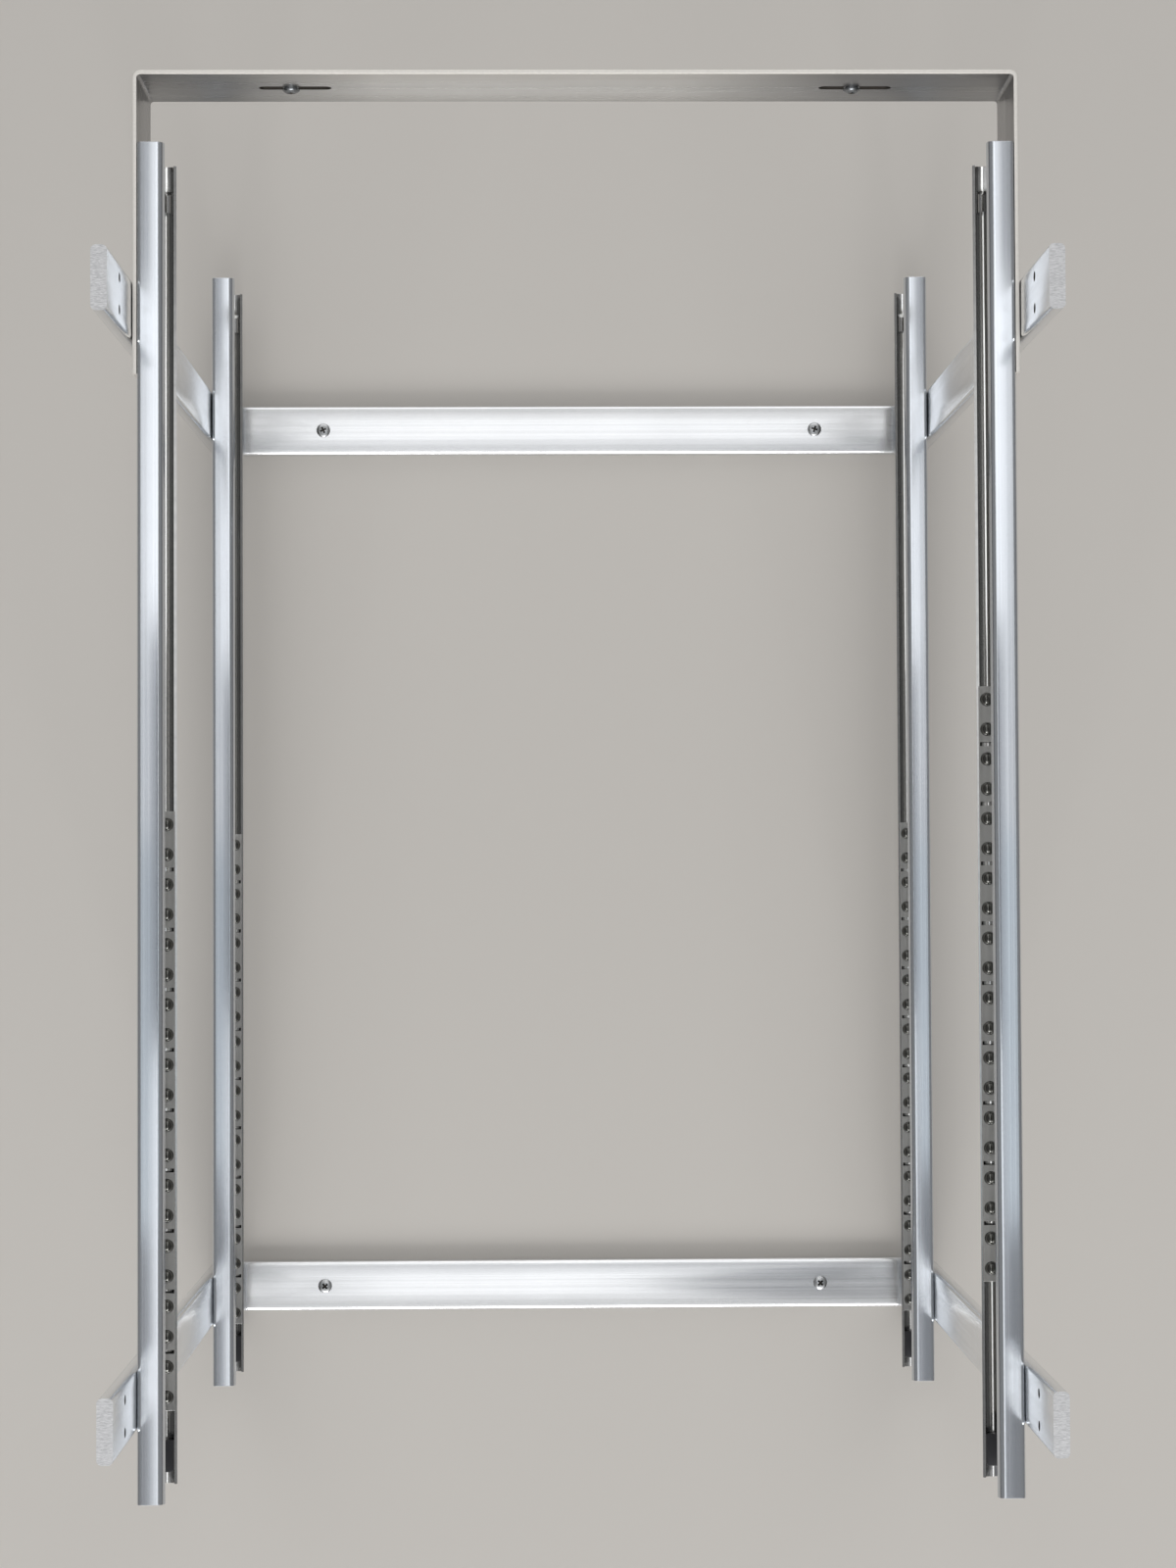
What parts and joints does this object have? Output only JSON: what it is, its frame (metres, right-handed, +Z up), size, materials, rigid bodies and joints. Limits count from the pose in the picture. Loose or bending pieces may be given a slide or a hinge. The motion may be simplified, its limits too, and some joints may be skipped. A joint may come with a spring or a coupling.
{
  "type": "two-tier pull-out basket frame",
  "caption": "Floor-mounted two-tier frame for pull-out wire baskets: flat-bar uprights, rear wall strap and ball-bearing slide channels with sliding ball cages.",
  "frame": {"origin": "on the floor, midway across and midway from the channels' front ends to the strap's back", "axes": "+X to the right of someone facing the unit, +Y to the rear wall, +Z up"},
  "size_m": [0.3746, 0.5796, 0.4064],
  "materials": {
    "bar_aluminium": "brushed along the bar",
    "slide_zinc": "bright zinc plate with faint rolling lines",
    "strap_zinc": "dull zinc plate",
    "cage_steel": "plain rolled steel, lightly greased",
    "ball_chrome": "polished",
    "stop_plastic": "moulded black plastic",
    "screw_steel": "zinc-plated"
  },
  "bodies": {
    "frame": {"front_floor_frame": "bar_aluminium", "rear_floor_frame": "bar_aluminium", "back_strap": "strap_zinc", "upper_left_slide_channel": "slide_zinc", "upper_right_slide_channel": "slide_zinc", "lower_left_slide_channel": "slide_zinc", "lower_right_slide_channel": "slide_zinc", "upper_left_front_stop": "stop_plastic", "upper_right_front_stop": "stop_plastic", "lower_left_front_stop": "stop_plastic", "lower_right_front_stop": "stop_plastic", "lower_slide_screws": "screw_steel", "upper_front_slide_screws": "screw_steel", "upper_rear_slide_screws": "screw_steel"},
    "upper_left_cage": {"upper_left_ball_cage": "cage_steel", "upper_left_cage_balls": "ball_chrome"},
    "upper_right_cage": {"upper_right_ball_cage": "cage_steel", "upper_right_cage_balls": "ball_chrome"},
    "lower_left_cage": {"lower_left_ball_cage": "cage_steel", "lower_left_cage_balls": "ball_chrome"},
    "lower_right_cage": {"lower_right_ball_cage": "cage_steel", "lower_right_cage_balls": "ball_chrome"}
  },
  "joints": [
    {"name": "upper_left_cage_slide", "type": "slide", "parent": "frame", "child": "upper_left_cage", "axis": [0, 1, 0], "range_m": [-0.0117, 0.2508]},
    {"name": "upper_right_cage_slide", "type": "slide", "parent": "frame", "child": "upper_right_cage", "axis": [0, 1, 0], "range_m": [-0.0627, 0.1998]},
    {"name": "lower_left_cage_slide", "type": "slide", "parent": "frame", "child": "lower_left_cage", "axis": [0, 1, 0], "range_m": [-0.0057, 0.2568]},
    {"name": "lower_right_cage_slide", "type": "slide", "parent": "frame", "child": "lower_right_cage", "axis": [0, 1, 0], "range_m": [-0.0102, 0.2523]}
  ]
}
